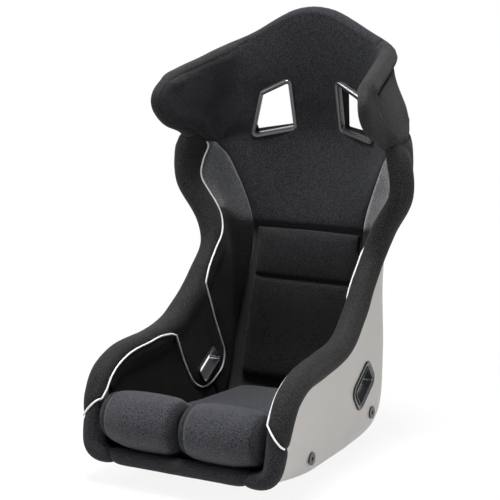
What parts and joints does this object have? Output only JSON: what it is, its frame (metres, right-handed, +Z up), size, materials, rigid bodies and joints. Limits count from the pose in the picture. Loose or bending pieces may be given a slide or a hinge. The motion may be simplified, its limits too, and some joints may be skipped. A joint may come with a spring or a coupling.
{
  "type": "racing_seat",
  "caption": "One-piece racing bucket seat with head wings, padded bolsters, silver piping, four lift-off cushions, harness slots and side mounts",
  "frame": {"origin": "on the floor, under the middle of the bounding box of the whole seat", "axes": "metres, +Z up, the seat faces -Y, +X is to the right seen from the front; X = 0 is the plane of symmetry"},
  "size_m": [0.5524, 0.6461, 0.9028],
  "materials": {
    "laminate": "pale warm grey gel coat over glass fibre, satin",
    "velour": "short-pile velour, soft brown-grey sheen",
    "knit": "brushed fine-weave seat fabric",
    "mesh_cloth": "open spacer mesh",
    "dark_cloth": "plain black seat fabric",
    "felt": "thin needled felt and hook-and-loop tape",
    "silver_cord": "woven silver-grey piping",
    "satin": "satin gunmetal",
    "steel": "zinc-plated"
  },
  "bodies": {
    "seat": {"shell": "laminate", "head_pad": "knit", "pan_liner": "felt", "back_liner": "felt", "mesh_panel_left": "mesh_cloth", "mesh_panel_right": "mesh_cloth", "waist_panel_left": "dark_cloth", "waist_panel_right": "dark_cloth", "hip_panel_left": "velour", "hip_panel_right": "velour", "thigh_panel_left": "dark_cloth", "thigh_panel_right": "dark_cloth", "side_bolster_left": "velour", "side_bolster_right": "velour", "front_corner_left": "knit", "front_corner_right": "knit", "front_lip_pad": "knit", "wing_edge_left": "velour", "wing_edge_right": "velour", "head_top_roll": "knit", "wing_cover_left": "velour", "wing_cover_right": "velour", "shoulder_cover_left": "velour", "shoulder_cover_right": "velour", "piping_left": "silver_cord", "piping_right": "silver_cord", "hook_strips": "felt", "shoulder_bezel_left": "satin", "shoulder_bezel_right": "satin", "shoulder_ring_left": "satin", "shoulder_ring_right": "satin", "lap_frame_left": "satin", "lap_frame_right": "satin", "lap_sleeve_left": "dark_cloth", "lap_sleeve_right": "dark_cloth", "crotch_slot_trim": "satin", "mount_insert_front_left": "steel", "mount_insert_front_right": "steel", "mount_insert_rear_left": "steel", "mount_insert_rear_right": "steel"},
    "thigh_cushion_left": {"thigh_cushion_left": "knit"},
    "thigh_cushion_right": {"thigh_cushion_right": "knit"},
    "base_cushion": {"base_cushion": "knit", "base_loop_strips": "felt"},
    "back_cushion": {"back_cushion": "dark_cloth", "back_loop_strips": "felt"}
  },
  "joints": [
    {"name": "thigh_cushion_left_lift", "type": "slide", "parent": "seat", "child": "thigh_cushion_left", "axis": [0.03, -0.5997, 0.7996], "range_m": [0, 0.12]},
    {"name": "thigh_cushion_right_lift", "type": "slide", "parent": "seat", "child": "thigh_cushion_right", "axis": [-0.03, -0.5997, 0.7996], "range_m": [0, 0.12]},
    {"name": "base_cushion_lift", "type": "slide", "parent": "seat", "child": "base_cushion", "axis": [0, 0, 1], "range_m": [0, 0.12]},
    {"name": "back_cushion_pull", "type": "slide", "parent": "seat", "child": "back_cushion", "axis": [0, -0.9782, 0.2079], "range_m": [0, 0.019]}
  ]
}
